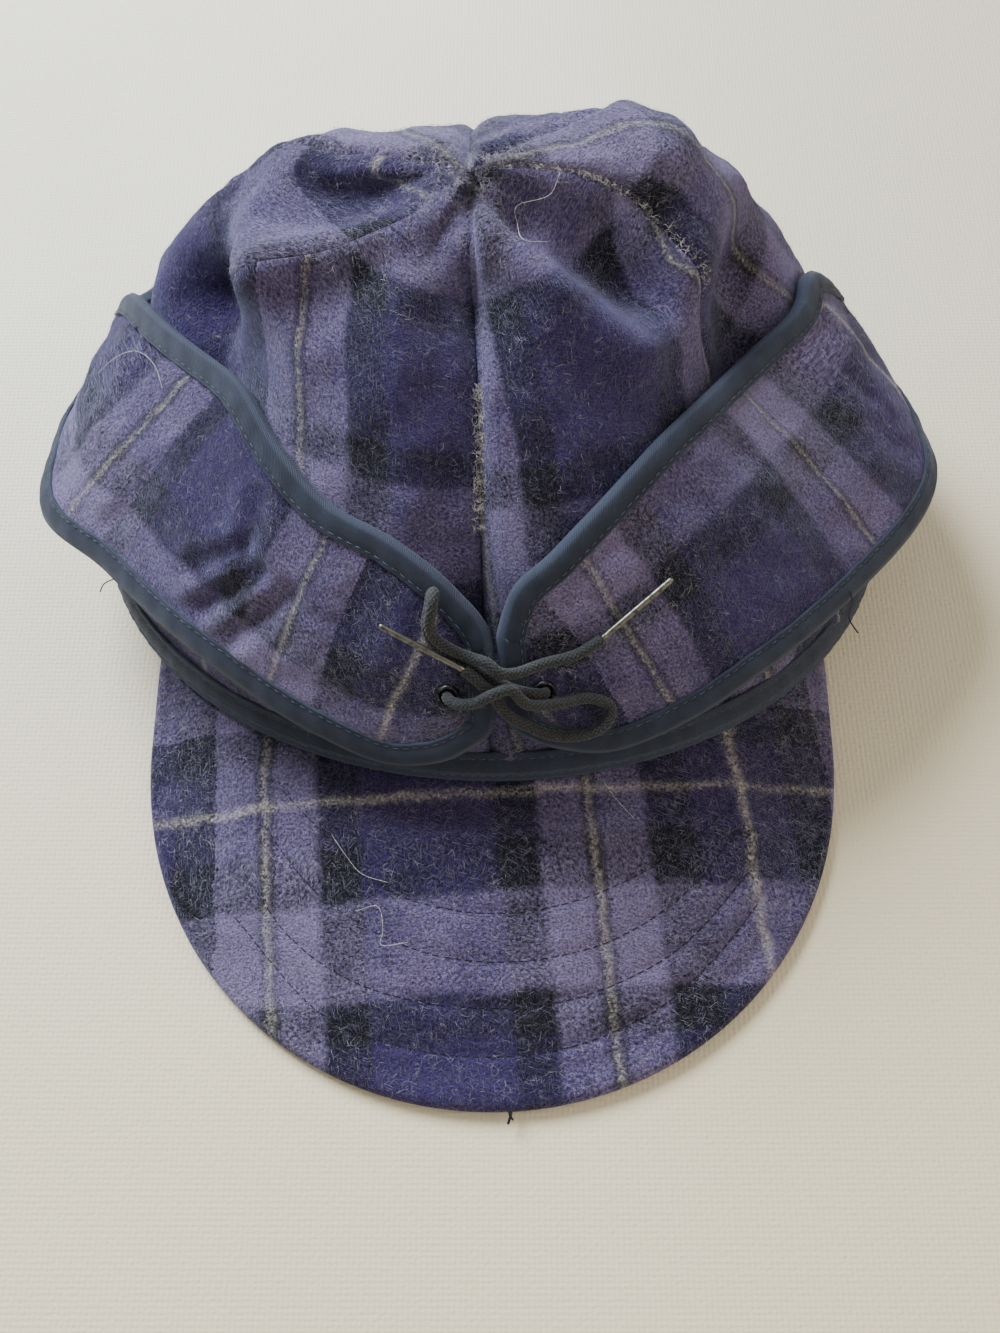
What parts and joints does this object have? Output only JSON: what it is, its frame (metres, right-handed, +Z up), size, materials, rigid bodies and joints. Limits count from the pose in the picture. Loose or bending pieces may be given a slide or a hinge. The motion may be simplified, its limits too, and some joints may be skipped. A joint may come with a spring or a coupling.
{
  "type": "wool hunting cap",
  "caption": "Wool hunting cap in purple plaid with a stitched visor and a tape-bound earband, turned up and laced in front, standing on its rim.",
  "frame": {"origin": "middle of the outline from above, at the level of the surface that the cap stands on", "axes": "+Z up, the visor points along -Y, +X is to the right seen from in front of the visor with the cap's top up"},
  "size_m": [0.225, 0.2406, 0.1055],
  "materials": {
    "plaid_wool": "matt",
    "binding_tape": "matt",
    "lace_cord": "matt",
    "dark_metal": "satin",
    "bright_metal": "satin"
  },
  "bodies": {
    "root": {"crown_gore_front_left": "plaid_wool", "crown_gore_front_right": "plaid_wool", "crown_gore_side_left": "plaid_wool", "crown_gore_side_right": "plaid_wool", "crown_gore_back_left": "plaid_wool", "crown_gore_back_right": "plaid_wool", "rim_tape": "binding_tape", "visor": "plaid_wool", "earband_left": "plaid_wool", "earband_right": "plaid_wool", "earband_binding_left": "binding_tape", "earband_binding_right": "binding_tape", "eyelet_left": "dark_metal", "eyelet_right": "dark_metal", "lace": "lace_cord", "aglet_left": "bright_metal", "aglet_right": "bright_metal"}
  },
  "joints": []
}
